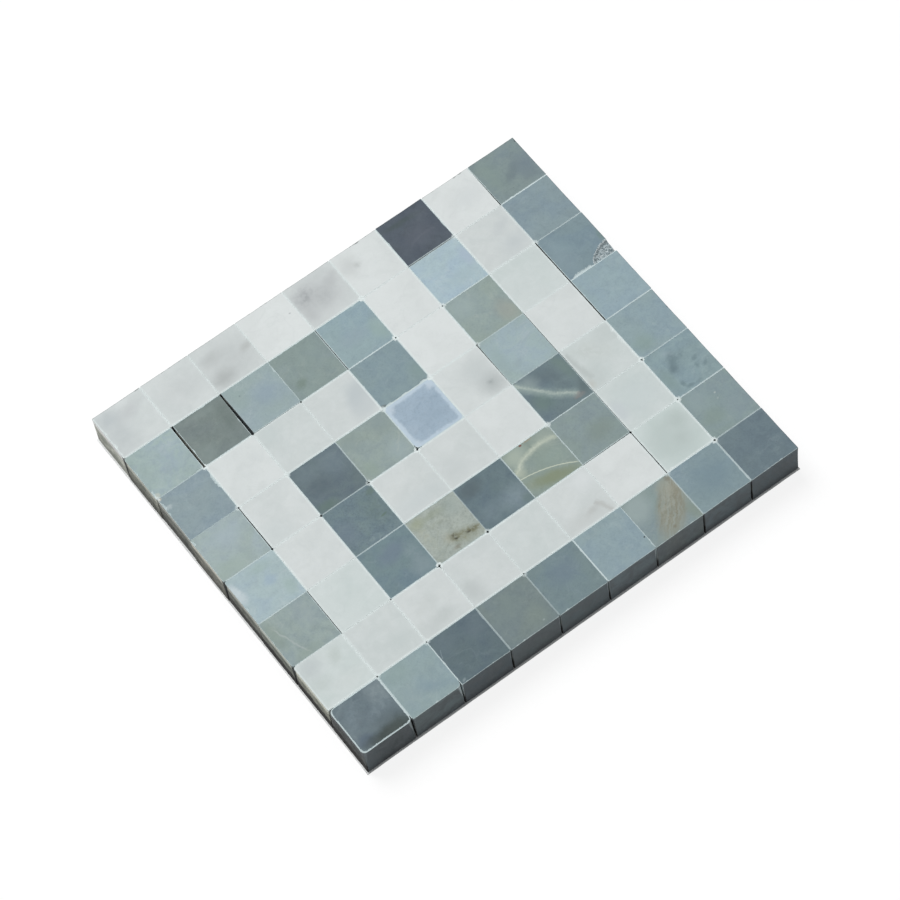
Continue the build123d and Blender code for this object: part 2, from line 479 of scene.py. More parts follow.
class Shader:
    """The nodes of a material or a world, added by short calls. A value is a number or a socket."""

    def __init__(self, owner, output="Material"):
        owner.use_nodes = True
        self.tree = owner.node_tree
        self.tree.nodes.clear()
        self.output = self.tree.nodes.new("ShaderNodeOutput" + output)
        self.colour = None

    def node(self, kind, sockets, output=0, **settings):
        """Adds a node. sockets says, by name or number, what is put into its inputs."""
        made = self.tree.nodes.new("ShaderNode" + kind)
        for key, value in settings.items():
            setattr(made, key, value)
        for key, value in sockets.items():
            self.put(made.inputs[key], value)
        return made.outputs[output]

    def put(self, socket, value):
        if isinstance(value, bpy.types.NodeSocket):
            self.tree.links.new(value, socket)
        else:
            socket.default_value = value

    def end(self, value):
        self.put(self.output.inputs[0], value)

    def attribute(self, name, output="Fac"):
        return self.node("Attribute", {}, output, attribute_name=name)

    def math(self, operation, a, b=0.0, clamp=False):
        return self.node("Math", {0: a, 1: b}, operation=operation, use_clamp=clamp)

    def add(self, a, b):
        return self.math("ADD", a, b)

    def apart(self, a, b):
        return self.math("ABSOLUTE", self.math("SUBTRACT", a, b))

    def highest(self, *values):
        return functools.reduce(lambda a, b: self.math("MAXIMUM", a, b), values)

    def times(self, *values):
        return functools.reduce(lambda a, b: self.math("MULTIPLY", a, b), values)

    def swing(self, noise, by):
        """A noise from 0 to 1, made to swing round zero."""
        return self.times(self.math("SUBTRACT", noise, 0.5), by)

    def equal(self, a, b):
        return self.node("Math", {0: a, 1: b, 2: 0.2}, operation="COMPARE")

    def vector(self, operation, a, b=(0.0, 0.0, 0.0)):
        return self.node("VectorMath", {0: a, 1: b}, operation=operation)

    def scaled(self, a, by):
        return self.node("VectorMath", {0: a, "Scale": by}, operation="SCALE")

    def length(self, a):
        return self.node("VectorMath", {0: a}, "Value", operation="LENGTH")

    def noise(self, where, scale, detail=3.0, roughness=0.6, distortion=0.0, output=0):
        sockets = {"Scale": scale, "Detail": detail, "Roughness": roughness, "Distortion": distortion}
        return self.node("TexNoise", {"Vector": where, **sockets}, output)

    def cells(self, where, scale):
        return self.node("TexVoronoi", {"Vector": where, "Scale": scale}, "Distance")

    def ramp(self, value, low, high, to_low=0.0, to_high=1.0, easing="SMOOTHSTEP"):
        """The value mapped so that low gives to_low and high gives to_high, clamped."""
        sockets = {"From Min": low, "From Max": high, "To Min": to_low, "To Max": to_high}
        return self.node("MapRange", {"Value": value, **sockets}, "Result", interpolation_type=easing)

    def straight(self, value, low, high):
        return self.ramp(value, low, high, easing="LINEAR")

    def mix(self, factor, a, b):
        """Colours mixed. Each is a socket, or three numbers for sRGB 0 to 255."""
        a, b = (linear(c) if isinstance(c, tuple) else c for c in (a, b))
        return self.node("Mix", {0: factor, 6: a, 7: b}, 2, data_type="RGBA")

    def paint(self, colour, *factors):
        """Lays a colour over the colour so far, as far as the factors together say."""
        self.colour = self.mix(self.times(*factors), self.colour, colour)

    def placed(self, where, x, y, size_x=1.0, size_y=1.0, turn=0.0):
        """Coordinates in which an ellipse at that place has radius 1."""
        turned = (0, 0, math.radians(turn))
        sockets = {"Location": (x, y, 0), "Rotation": turned, "Scale": (size_x, size_y, 1e4)}
        return self.node("Mapping", {"Vector": where, **sockets}, vector_type="TEXTURE")

    def blot(self, where, x, y, size_x, size_y, turn=0.0, soft=0.5):
        """A spot, cloud or streak with soft edges: an ellipse in the chip's own plan, in mm."""
        away = self.length(self.placed(where, x, y, size_x, size_y, turn))
        return self.ramp(away, 1 + soft, max(1 - soft, 0.0))

    def surface(self, roughness, specular, height, strength, distance):
        """Ends a material: a surface of the colour so far, with its gloss and relief."""
        bump = self.node("Bump", {"Strength": strength, "Distance": distance, "Height": height})
        sockets = {"Base Color": self.colour, "Roughness": roughness, "Specular IOR Level": specular}
        self.end(self.node("BsdfPrincipled", {**sockets, "IOR": 1.5, "Normal": bump}))


def stone(name, row, columns, base, cloud, vein, vein_amount=0.15, speckle=0.0, mottle=0.5, grain=1.0,
          saw=(110, 116, 119), halo=None):
    """The material of one grey chip, or of the white chips of a row.

    base, cloud and vein are colours. halo is the width, colour and strength of a pale border.
    """
    white = len(columns) > 1
    material = bpy.data.materials.new(name)
    s = Shader(material)
    chip = s.attribute("chip", "Vector")
    quarry = s.attribute("quarry", "Vector")
    edge = s.attribute("edge")
    pale = s.attribute("pale")
    dust = s.attribute("dust")
    cell = s.attribute("cell")
    broken = s.attribute("broken")

    # Clouds, mottling and grain
    wide = s.noise(quarry, 0.085, 3.0, 0.55, 0.6)
    middling = s.noise(quarry, 0.33, 3.0, 0.6, 0.8)
    fine = s.noise(quarry, 1.9, 3.0, 0.65)
    first, second = base, cloud
    if white:
        greenish = s.straight(s.attribute("tone"), 0.0, -1.0)
        bright = s.straight(s.attribute("tone"), 0.0, 1.0)
        first = s.mix(bright, s.mix(greenish, (203, 210, 209), (201, 214, 211)), (217, 222, 221))
        second = s.mix(bright, s.mix(greenish, (209, 215, 214), (207, 218, 216)), (222, 227, 226))
    s.colour = s.mix(s.ramp(wide, 0.36, 0.64), first, second)
    s.paint(toned(cloud, 1.05), s.ramp(middling, 0.40, 0.70, 0.0, mottle))
    s.paint(toned(base, 0.92), s.ramp(middling, 0.50, 0.28, 0.0, mottle * 0.6))
    s.paint(toned(cloud, 1.22), s.ramp(fine, 0.30, 0.70, 0.0, 0.10 * grain))
    s.paint(toned(base, 0.80), s.ramp(fine, 0.50, 0.25, 0.0, 0.16 * grain))

    # Veins: where a slow noise passes through its middle value
    off = s.apart(s.noise(quarry, 0.105, 4.0, 0.55, 1.1), 0.5)
    veins = s.highest(s.ramp(off, 0.020, 0.0), s.ramp(off, 0.075, 0.0, 0.0, 0.35))
    s.paint(vein, veins, s.ramp(s.noise(quarry, 0.16, 1.0, 0.5), 0.42, 0.60), vein_amount)

    # Dark specks of mica and iron
    if speckle:
        size = s.ramp(s.noise(quarry, 0.45, 1.0, 0.5), 0.50, 0.62)
        s.paint(toned(base, 0.55), s.ramp(s.cells(quarry, 0.62), 0.13, 0.05), size, speckle)

    # Marks of single chips, each along a path that wanders more or less
    wander = s.vector("SUBTRACT", s.noise(quarry, 0.42, output=1), (0.5, 0.5, 0.5))
    ragged = s.vector("SUBTRACT", s.noise(quarry, 1.6, 3.0, 0.65, output=1), (0.5, 0.5, 0.5))
    paths = {"exact": chip, "near": s.vector("ADD", chip, s.scaled(wander, 1.5))}
    paths["rough"] = s.vector("ADD", paths["near"], ragged)
    paths["crisp"] = s.vector("ADD", chip, s.scaled(ragged, 0.35))
    for column in columns:
        for path, shape, tint, strength, turn, patchy, streaky in marks_of.get((row, column), ()):
            mask = shape(s, paths[path])
            if patchy:
                mask = s.times(mask, s.ramp(s.noise(quarry, 0.8, 2.0), 0.56, 0.44, 1.0 - patchy, 1.0))
            if streaky:
                along = s.vector("MULTIPLY", s.placed(paths["rough"], 0, 0, turn=turn), (1.5, 0.16, 1.0))
                mask = s.times(mask, s.ramp(s.noise(along, 1.0), 0.42, 0.58, 1.0 - streaky, 1.0))
            if white:
                mask = s.times(mask, s.equal(cell, float(column)))
            s.paint(tint, mask, strength)
    if halo:
        width, tint, strength = halo
        soft_edge = s.add(s.add(edge, s.swing(s.noise(quarry, 0.9, 3.0, 0.65), 1.6)), s.swing(fine, 0.7))
        s.paint(tint, s.ramp(soft_edge, width, width * 0.3, 0.0, strength))

    # Sides: sawn, dull and a little stained, and darkest at the foot by painted shade. The left ones
    # have their own look, with a black foot of painted shade.
    top = s.colour
    depth = s.times(edge, -1.0)
    stain = s.noise(quarry, 0.28, 4.0, 0.6, 0.4)
    wavy = s.add(depth, s.swing(stain, 2.5))
    on_side = s.ramp(depth, 0.10, 0.40)
    on_left = s.ramp(s.node("SeparateXYZ", {0: chip}, "X"), -7.15, -7.35)
    left_saw, near_top, foot, wedge = left_sides[row]
    left = s.mix(s.ramp(stain, 0.30, 0.70), toned(left_saw, 1.12), toned(left_saw, 0.80, (-2, 2, 0)))
    left = s.mix(s.ramp(depth, 3.7, 1.2, 0.0, 0.95), left, toned(left_saw, near_top, (0, 2, 6)))
    s.paint(saw, s.ramp(stain, 0.35, 0.65, 0.66, 0.95))
    s.paint(left, on_left, 0.9)
    # Painted shade: every side darker towards the foot
    s.paint((30, 30, 31), s.ramp(depth, 7.2, 11.2, 0.0, 0.38))
    # Painted shade: the black foot of the left sides
    s.paint((24, 24, 23), on_left, s.ramp(wavy, 5.8, 7.6, 0.0, foot))
    if wedge:
        beside = s.add(s.times(s.node("SeparateXYZ", {0: chip}, "Y"), -float(wedge)), s.times(wavy, 0.07))
        s.paint((26, 27, 27), on_left, s.ramp(beside, -6.2, -6.8), 0.95)
    s.colour = s.mix(on_side, top, s.colour)

    # Crushed stone along the arris, with a painted highlight where the edge catches the light, painted
    # shade on the tile's back and right arrises, and dust or dirt in closed joints
    chalk_and_highlight = (226, 235, 234) if white else (208, 222, 223)
    flaky = s.noise(quarry, 2.6, 2.0)
    on_top = s.ramp(depth, 0.30, 0.08)
    if white:
        # Pale band along the edges of white chips: crushed stone and a painted highlight
        glow = s.ramp(s.add(edge, s.swing(flaky, 0.25)), 0.50, 0.03)
        s.paint(chalk_and_highlight, glow, s.ramp(pale, 0.15, 0.75), on_top, 0.70)
    near_edge = s.add(edge, s.swing(flaky, 0.02 if white else 0.045))
    arris = s.times(s.ramp(near_edge, 0.05, 0.0), on_top)
    # Pale arris: crushed stone and a painted highlight
    s.paint(chalk_and_highlight, arris, s.highest(pale, 0.0), 0.9)
    # Painted shade: a dark arris where pale is below 0, along the tile's back and right sides
    s.paint((48, 52, 54), arris, s.highest(s.times(pale, -1.0), 0.0))
    s.paint(chalk_and_highlight, s.straight(dust, 0.0, 1.0), 0.95)
    s.paint((50, 58, 58), s.straight(dust, 0.0, -1.0))
    # Pale upright edges: crushed stone with a painted highlight, and painted light on the shaded joint faces
    # beside them
    s.paint(chalk_and_highlight, s.attribute("upright"), on_side, s.ramp(depth, 8.5, 3.0), 0.9)

    # Crushed white stone round some crossings
    flat = s.vector("MULTIPLY", s.vector("ABSOLUTE", chip), (1.0, 1.0, 0.0))
    away = s.add(s.length(s.vector("SUBTRACT", (7.62, 7.62, 0.0), flat)), s.swing(flaky, 1.3))
    s.paint((230, 239, 238), s.ramp(away, 1.05, 0.60), s.attribute("crumb"), on_top)

    # Broken stone: bright crystals with painted glints, lightened as painted light over the shade of
    # the break's steep slopes
    glint = s.cells(s.placed(chip, 0.0, 0.0, 1.0, 0.38, -32.0), 1.1)
    fresh = s.mix(s.ramp(glint, 0.10, 0.55), (230, 236, 236), (118, 132, 137))
    s.paint(s.mix(s.ramp(flaky, 0.58, 0.42), fresh, (186, 198, 201)), broken, 0.92)
    s.paint((222, 230, 231), s.ramp(broken, 0.02, 0.35), s.ramp(broken, 0.98, 0.60), 0.7)

    # Gloss: a honed top with duller arrises and sides. Relief: pores on top, saw marks on the sides.
    honed = s.ramp(s.noise(quarry, 0.6), 0.3, 0.7, 0.38, 0.50)
    roughness = s.math("ADD", honed, s.times(s.highest(arris, on_side, broken), 0.34), clamp=True)
    saw_marks = s.noise(s.vector("MULTIPLY", quarry, (0.35, 0.35, 2.4)), 1.6)
    height = s.add(s.times(s.noise(quarry, 3.2, 3.0, 0.7), 0.05), s.times(on_side, saw_marks, 0.30))
    height = s.add(height, s.times(arris, flaky, 0.25))
    s.surface(roughness, 0.22, height, 0.55, 0.0004)
    return material


# Kinds of marks: colour, strength, place from the middle of the chip and half sizes in millimetres,
# turn in degrees and softness. The kinds differ in how far their outlines wander.

def ellipse(path, usual_soft):
    """Makes the function that gives marks of one kind, as stone() takes them."""
    def mark(colour, strength, x, y, size_x, size_y, turn=0, soft=usual_soft, patchy=0, streaky=0):
        def shape(s, where):
            return s.blot(where, x, y, size_x, size_y, turn, soft)
        return path, shape, colour, strength, turn, patchy, streaky
    return mark


haze = ellipse("near", 0.8)
patch = ellipse("rough", 1.0)
fleck = ellipse("crisp", 0.5)
dot = ellipse("exact", 0.5)


def curve(colour, strength, a, b, c, half_width, soft=1.0, path="rough", patchy=0):
    """A line along the circle through three points, with b about its middle."""
    def shape(s, where):
        (ax, ay), (bx, by), (cx, cy) = a, b, c
        d = 2 * (ax * (by - cy) + bx * (cy - ay) + cx * (ay - by))
        aa, bb, cc = ax * ax + ay * ay, bx * bx + by * by, cx * cx + cy * cy
        x = (aa * (by - cy) + bb * (cy - ay) + cc * (ay - by)) / d
        y = (aa * (cx - bx) + bb * (ax - cx) + cc * (bx - ax)) / d
        off = s.apart(s.length(s.placed(where, x, y)), math.dist((x, y), a))
        line = s.ramp(off, half_width * (1 + soft), half_width * max(1 - soft, 0.0))
        reach = max(math.dist(a, b), math.dist(b, c))
        return s.times(line, s.blot(where, *b, reach, reach, soft=0.12))
    return path, shape, colour, strength, 0, patchy, 0


# Marks of the chips by (row, column): clouds, stains, veins, spots and smudges
marks_of = {}
marks_of[1, 1] = [
    haze((122, 138, 146), 0.5, -4.2, 2, 3.4, 1.5, 60, patchy=0.5),
    haze((128, 143, 150), 0.45, 2.4, 0.4, 3.2, 1.3, 20, patchy=0.6),
    haze((138, 152, 156), 0.6, 5.2, 4.8, 2.8, 2.6, 10, patchy=0.3),
    haze((82, 98, 113), 0.7, -4.8, -4.9, 2.6, 1.5, 0, 0.6),
    haze((82, 96, 101), 0.65, 3.6, -4.4, 4.6, 2.6, -6),
    patch((50, 62, 60), 0.95, 1.8, -6.7, 6.8, 1.9, -3, 0.6),
    patch((62, 75, 72), 0.62, 4.6, -5.4, 3.2, 1.5, 8, 0.9, patchy=0.3),
]
marks_of[1, 2] = [
    haze((141, 162, 160), 0.5, -3.6, 5.4, 3.2, 2.2, 20, 0.5),
    haze((124, 146, 158), 0.5, 1.6, -3, 4.4, 1.5, -25),
    haze((146, 164, 166), 0.4, -4, -2, 2.4, 2.8, 0, 0.7),
]
marks_of[1, 3] = [
    curve((150, 165, 170), 0.5, (-6.2, 3.6), (-6.8, 2.4), (-7.2, 1.2), 0.1, 0.5, path="crisp"),
    haze((104, 120, 126), 0.5, 4.4, 3.2, 2.8, 3),
    haze((101, 118, 126), 0.5, -4.2, 4.4, 3, 2.6),
    fleck((150, 164, 168), 0.5, -6.4, -6.7, 0.6, 0.3, 30),
]
marks_of[1, 4] = [
    haze((122, 138, 136), 0.5, -2.6, 2.2, 4, 2.4, 20),
    haze((128, 142, 134), 0.4, 3.4, -3.4, 3, 2.4, 20, 0.9),
    dot((160, 174, 172), 0.6, 3.9, -5.8, 0.3, 0.22, 20),
]
marks_of[1, 5] = [haze((112, 130, 143), 0.5, 0.8, 1.8, 4.2, 2.6, 10, 0.7)]
marks_of[1, 6] = [dot((52, 60, 62), 0.9, 7.2, -3.2, 0.26, 0.22, 0, 0.4)]
marks_of[1, 7] = [
    haze((163, 178, 178), 0.6, -4.6, 4.2, 3.4, 4.2, -38, 0.6),
    patch((150, 155, 143), 0.8, 2.7, -1, 3.6, 9.5, -40, 0.45),
    patch((160, 163, 150), 0.6, 5, 4.6, 2.6, 2.6, -40, 0.8),
    patch((134, 146, 134), 0.6, 6.8, -5.4, 1.8, 3, 20, 0.7),
    patch((126, 123, 102), 0.5, -0.9, -0.4, 0.7, 6, -38, streaky=0.7),
    patch((128, 124, 104), 0.6, 2.6, -0.6, 2.6, 8, -40, 0.8, streaky=1),
    patch((168, 170, 158), 0.4, 3, 1, 2.2, 6, -42, 0.9, patchy=0.9),
    patch((134, 128, 110), 0.5, 6.4, 2.4, 0.8, 3.8, -24, streaky=0.6),
    patch((122, 115, 96), 0.4, 3.4, -2.6, 1.5, 2.8, -38, 0.8, streaky=0.9),
    fleck((116, 108, 88), 0.5, -0.2, -5.6, 0.5, 0.4, 30, 0.7),
    patch((122, 112, 92), 0.45, 6.6, 6.4, 0.7, 0.7, 30, 0.8),
]
marks_of[1, 8] = [haze((116, 138, 149), 0.55, 0.6, -0.6, 5, 4.2)]
marks_of[2, 1] = [
    patch((184, 195, 190), 0.6, 2.6, 3.8, 2.2, 1.5, 60),
    patch((184, 192, 193), 0.6, -4.4, 4.6, 3.2, 2.6, 20),
    patch((188, 197, 194), 0.5, -4.8, -0.6, 2.4, 1.6),
    patch((208, 215, 213), 0.5, 1, -3.6, 4.2, 2.2),
]
marks_of[2, 2] = [patch((190, 200, 199), 0.4, 2, -3, 4.4, 2.6, 20)]
marks_of[2, 3] = [
    patch((188, 195, 194), 0.45, 0.2, -4.2, 2.6, 1.2, 10),
    patch((192, 199, 198), 0.5, -2, -5, 6, 2),
    patch((196, 202, 200), 0.4, -1.5, 0.8, 3.4, 1.8, 20),
]
marks_of[2, 4] = [
    patch((182, 189, 188), 0.55, -4.8, -3.4, 2.4, 2.6, -20),
    patch((188, 195, 194), 0.4, -5.4, -1.6, 1.3, 1),
]
marks_of[2, 6] = [
    curve((178, 178, 174), 0.55, (3.5, -2.6), (4.9, -5), (5.6, -7), 0.6),
    patch((180, 182, 179), 0.55, 1.6, -4.2, 1.7, 0.8, 10),
    patch((192, 197, 195), 0.5, -1, -5, 6, 2),
    haze((222, 227, 228), 0.6, 4.6, 4.6, 2.8, 2.8, 0, 0.9),
]
marks_of[2, 8] = [
    patch((176, 188, 184), 0.6, 4, 3.2, 2.4, 2.2),
    patch((180, 191, 187), 0.6, 1.4, -1.6, 1.6, 1.6),
    haze((185, 197, 194), 0.65, 0, 0, 7, 7, 0, 0.6),
]
marks_of[2, 9] = [
    haze((132, 150, 142), 0.5, -3.4, -2.1, 3, 2.2, 0, 0.6),
    haze((138, 154, 160), 0.5, 3, -3, 2.6, 3, 0, 0.7),
    haze((148, 166, 168), 0.5, -4.2, 4.4, 3.2, 3),
    dot((182, 192, 188), 0.7, 1.1, 3.3, 0.3, 0.22, 20),
    dot((164, 176, 174), 0.6, 0.7, 1.5, 0.26, 0.22, 20),
]
marks_of[3, 1] = [
    haze((136, 152, 140), 0.55, -6.2, 2, 2, 4.6, 5, 0.6),
    curve((174, 184, 182), 0.55, (-5.3, 3.8), (-3.6, -1.4), (-1.3, -6.6), 0.18, 0.9, path="near"),
    haze((140, 156, 146), 0.4, -1, -6.6, 4, 1.4, 0, 0.6),
    haze((150, 164, 166), 0.4, 3.6, 2.6, 2.4, 3.4, 0, 0.7),
]
marks_of[3, 2] = [patch((198, 209, 207), 0.4, 1, 1, 5, 3, 30)]
marks_of[3, 3] = [
    haze((108, 124, 142), 0.6, 0.2, 2.8, 3.6, 2.4, 10, 0.6),
    haze((130, 147, 154), 0.55, 4.9, -0.4, 1.8, 3.4, 0, 0.7, patchy=0.5),
    haze((136, 153, 158), 0.55, 4.6, -4.8, 2.8, 2.4),
]
marks_of[3, 4] = [
    patch((150, 158, 132), 0.65, -5.2, 5.4, 1.9, 1.5, 20, 0.8),
    patch((134, 144, 122), 0.5, -1, 5.2, 2.6, 0.8, 10, 0.9),
    patch((132, 142, 122), 0.45, 2, 4.6, 1.8, 0.8, 30, 0.9, patchy=0.5),
    patch((140, 148, 132), 0.4, -1.6, 2.4, 3.4, 0.7, -10, 0.9, patchy=0.5),
    haze((150, 164, 160), 0.5, 5, 4.4, 2.4, 2.8),
    patch((170, 174, 156), 0.4, -5.6, 1.4, 1.2, 3, 0, 0.8, patchy=0.6),
    patch((130, 130, 98), 0.72, 2.6, -4.4, 3.8, 1.6, -14, 0.9, patchy=0.4),
    patch((112, 110, 80), 0.62, 5.8, -4.6, 1.6, 0.6, -10, 0.9, patchy=0.6),
    patch((178, 180, 166), 0.45, -1.4, -2.6, 1, 1.8, 0, 0.9, patchy=0.5),
    patch((92, 90, 64), 0.7, 0.4, -3.6, 1.3, 0.9, -40, patchy=0.6),
    patch((96, 94, 68), 0.65, 4.4, -4.3, 1.8, 0.7, -14, patchy=0.6),
    patch((72, 70, 52), 0.55, 0.2, -3, 0.42, 0.24, 30, 0.8),
    fleck((54, 54, 42), 0.85, 0.3, -4.1, 0.4, 0.28, -50, 0.7),
    fleck((60, 60, 46), 0.8, 3.9, -4.5, 0.55, 0.24, -14, 0.7),
    patch((110, 100, 78), 0.5, -0.8, -6.2, 1, 0.5, 0, 0.9),
]
marks_of[3, 5] = [
    haze((84, 99, 104), 0.75, -4, 4.9, 3.4, 2.2, 15, 0.7),
    haze((134, 151, 159), 0.65, 3.8, -4, 3.6, 3, 20, patchy=0.2),
    haze((120, 137, 146), 0.5, -3.4, -3.8, 3, 2.4, 20, patchy=0.3),
    haze((104, 124, 120), 0.4, 6.4, -6.2, 1.6, 1.4, 0, 0.6),
]
marks_of[3, 6] = [
    haze((172, 184, 171), 0.75, -4.6, 5.2, 3, 2.4, 20),
    haze((160, 172, 162), 0.65, 4.8, 5.2, 3, 2.4),
    haze((142, 160, 152), 0.6, 3, -0.6, 4.6, 2.2, -16),
    curve((192, 201, 184), 0.65, (-7.2, 0.9), (-0.3, 4.2), (7.6, 3.7), 0.66),
    curve((204, 211, 196), 0.45, (-7.2, 0.9), (-2.3, 3.6), (3.6, 4.5), 0.22, patchy=0.6),
    patch((184, 192, 174), 0.55, -6.2, 0.6, 1.3, 1.3, 0, 0.8),
    patch((130, 140, 112), 0.8, 0, -5.6, 6.2, 1.7, -16, 0.7),
    curve((202, 209, 190), 0.85, (-7.6, -1), (-0.6, -2.3), (7.3, -5.9), 0.14, 0.6, path="crisp"),
    dot((120, 66, 52), 0.95, -1.6, 7.1, 0.4, 0.28),
    fleck((166, 148, 120), 0.5, 0.8, 7.3, 1.2, 0.35, 0, 0.6),
]
marks_of[3, 7] = [haze((124, 138, 132), 0.5, 2, -2, 4.4, 2.6, 20, 0.7)]
marks_of[3, 8] = [
    haze((196, 202, 208), 0.5, -6, -1, 1.6, 3, 0, 0.7),
    haze((198, 209, 209), 0.5, 0, 0, 6, 5, 0, 0.7),
]
marks_of[3, 9] = [
    patch((158, 176, 181), 0.6, -1.6, 4.9, 1.5, 0.9, -30, 0.9),
    patch((106, 127, 134), 0.75, -1.6, 2.6, 1, 2.4, -20, 0.9, patchy=0.3),
    patch((98, 118, 126), 0.75, -2.9, 0.2, 1.3, 1, 20, 0.9),
    patch((108, 128, 136), 0.6, 1, 2.6, 1.6, 0.6, 30, 0.9, patchy=0.4),
    patch((114, 134, 140), 0.35, -0.6, 1.4, 3, 2.4, 30, 0.9, patchy=0.5),
    patch((108, 129, 135), 0.65, 3.4, -0.4, 1, 0.4, 20, 0.9),
    patch((108, 129, 135), 0.65, 2.6, -2.6, 0.5, 0.8, 0, 0.9),
    patch((108, 129, 135), 0.6, 4.7, -3.6, 0.7, 0.5, 30, 0.9),
    patch((106, 127, 133), 0.65, -3.4, -4.9, 0.5, 0.9, 0, 0.9),
    patch((106, 127, 133), 0.65, -2.2, -6.2, 0.9, 0.5, 0, 0.9),
    patch((110, 130, 136), 0.45, 0.6, -6.6, 0.9, 0.4, 0, 0.9),
    haze((130, 152, 150), 0.5, -5.8, -2, 1.4, 3.4),
]
marks_of[4, 1] = [
    patch((206, 216, 219), 0.65, -7.1, 2.8, 1.5, 3, 6, 0.5),
    patch((192, 205, 210), 0.5, -6, 0.6, 0.9, 1.4, -20, 0.8, patchy=0.4),
    haze((156, 178, 172), 0.5, 2.3, 5.4, 2.6, 1.4, 0, 0.6),
    haze((156, 178, 172), 0.5, 5.2, -3.9, 1.6, 2.4, 0, 0.6),
    haze((150, 172, 192), 0.5, 2.1, 0.9, 1.8, 1.4, 0, 0.6),
]
marks_of[4, 3] = [
    patch((104, 124, 118), 0.5, 4.4, 0.6, 3, 4.6, 10, 0.7, patchy=0.3),
    patch((108, 124, 138), 0.5, -5.4, -1, 2.6, 3.4, 0, 0.7),
    fleck((92, 114, 102), 0.75, 5.2, -2.1, 0.9, 0.24, 10),
    patch((98, 118, 108), 0.6, 6.2, 5.6, 1.3, 1, 20, 0.6),
]
marks_of[4, 4] = [patch((196, 205, 206), 0.5, 0, -4.6, 7, 2.6)]
marks_of[4, 5] = [patch((194, 201, 201), 0.5, -3.4, -3, 3.6, 3)]
marks_of[4, 7] = [
    patch((106, 128, 120), 0.6, -4.4, -1.6, 2.6, 2.8, 40, 0.7),
    haze((112, 133, 124), 0.5, 6, 4, 1.6, 4, 10),
    haze((92, 108, 114), 0.5, 0.8, 4, 3.6, 2, -40),
    haze((146, 161, 161), 0.6, -4.6, 5, 2.6, 2.2, -30, 0.9),
    curve((152, 169, 164), 0.65, (-7.6, 7), (-2.5, 0.4), (4.2, -5), 1),
    curve((182, 194, 186), 0.65, (-7.6, 7), (-2.3, 0.6), (4.2, -5.1), 0.34, patchy=0.4),
    patch((150, 138, 132), 0.5, 4.4, -5.6, 1.2, 0.6, -10, patchy=0.3),
    patch((140, 128, 122), 0.4, 3.3, -6, 0.8, 0.35, 0, 0.9),
    patch((92, 107, 109), 0.6, 6.4, -4.4, 1.4, 2.2, 0, 0.8),
]
marks_of[4, 8] = [
    curve((176, 183, 181), 0.55, (-7, 6), (-6.4, 1), (-5.6, -3.4), 0.85),
    patch((192, 188, 178), 0.5, -6.7, -5.1, 0.8, 1.2, 0, 0.9),
    patch((190, 198, 194), 0.55, -0.8, 2.5, 5, 2.2, -40, patchy=0.4),
    patch((190, 199, 197), 0.45, -4.6, -3.6, 3, 3),
    patch((188, 197, 195), 0.45, 4.4, 4.4, 2.8, 2.8),
]
marks_of[4, 9] = [haze((136, 158, 150), 0.5, -4.1, -4.1, 2.8, 2.4, 0, 0.7)]
marks_of[5, 1] = [
    haze((154, 172, 162), 0.6, -3.7, -5.4, 4.4, 2.2, 0, 0.6),
    haze((166, 182, 190), 0.4, 1, 2.6, 4, 2.6, 0, 0.7),
]
marks_of[5, 2] = [patch((198, 207, 207), 0.5, -4.4, -4, 3, 2.6)]
marks_of[5, 3] = [
    haze((114, 131, 139), 0.55, 3.6, 3.6, 3.6, 3.4),
    haze((112, 129, 136), 0.5, -3.8, 4.4, 3, 2.2),
    haze((82, 98, 107), 0.5, -2.6, -0.6, 3.2, 2.6),
    haze((92, 115, 106), 0.6, -4.6, -6.3, 2.8, 1.5, 0, 0.7),
]
marks_of[5, 4] = [
    haze((142, 160, 148), 0.5, -4.9, -5, 2, 2.6, 0, 0.7),
    haze((158, 175, 178), 0.55, 4.4, -4.6, 3, 2.8),
    haze((130, 146, 148), 0.55, 4.6, 4.6, 3, 2.8),
    haze((130, 146, 146), 0.5, -4.6, 4.6, 2.8, 2.8),
    curve((168, 180, 174), 0.4, (6.9, -0.6), (5.4, -2.6), (3.3, -4.8), 0.25, 0.8),
]
marks_of[5, 5] = [
    patch((198, 212, 223), 0.8, 6.7, 6.5, 1.9, 1.3, 35, 0.5),
    patch((197, 211, 222), 0.8, -6.8, -6.7, 1.6, 1.5, 0, 0.5),
    patch((197, 211, 222), 0.75, -6.6, 6.3, 1.5, 1.5, 0, 0.5),
    patch((194, 209, 221), 0.7, -0.4, 7.3, 5.6, 0.9, 3, 0.6),
    patch((195, 210, 221), 0.75, -7.3, 0.4, 0.9, 6.4, 2, 0.6),
    patch((190, 206, 219), 0.6, 7.4, -1, 0.8, 6, 0, 0.7),
    haze((150, 170, 186), 0.4, 2.4, -1.6, 3.6, 2.6, 30, 0.9),
]
marks_of[5, 6] = [
    patch((150, 157, 157), 0.7, 3.8, -3.6, 0.8, 0.6, 0, 0.9),
    fleck((118, 126, 126), 0.8, 3.8, -3.5, 0.38, 0.3, 0, 0.8),
    patch((174, 181, 181), 0.75, 4.2, -4, 3.2, 3),
    patch((192, 199, 199), 0.55, 3, 1.6, 3.8, 3.4, 20),
]
marks_of[5, 7] = [
    patch((146, 163, 168), 0.45, -2.5, -3.4, 1.8, 1, 20, 0.7),
    haze((148, 168, 166), 0.45, -5.6, 0, 1.6, 4, 0, 0.7),
]
marks_of[6, 1] = [
    patch((182, 194, 196), 0.55, -6.2, 3.8, 0.9, 0.6, 20, 0.5),
    fleck((196, 190, 172), 0.7, -7.1, 7.2, 0.6, 0.5),
]
marks_of[6, 3] = [patch((192, 203, 202), 0.55, -4.6, 4.6, 3.2, 2.8)]
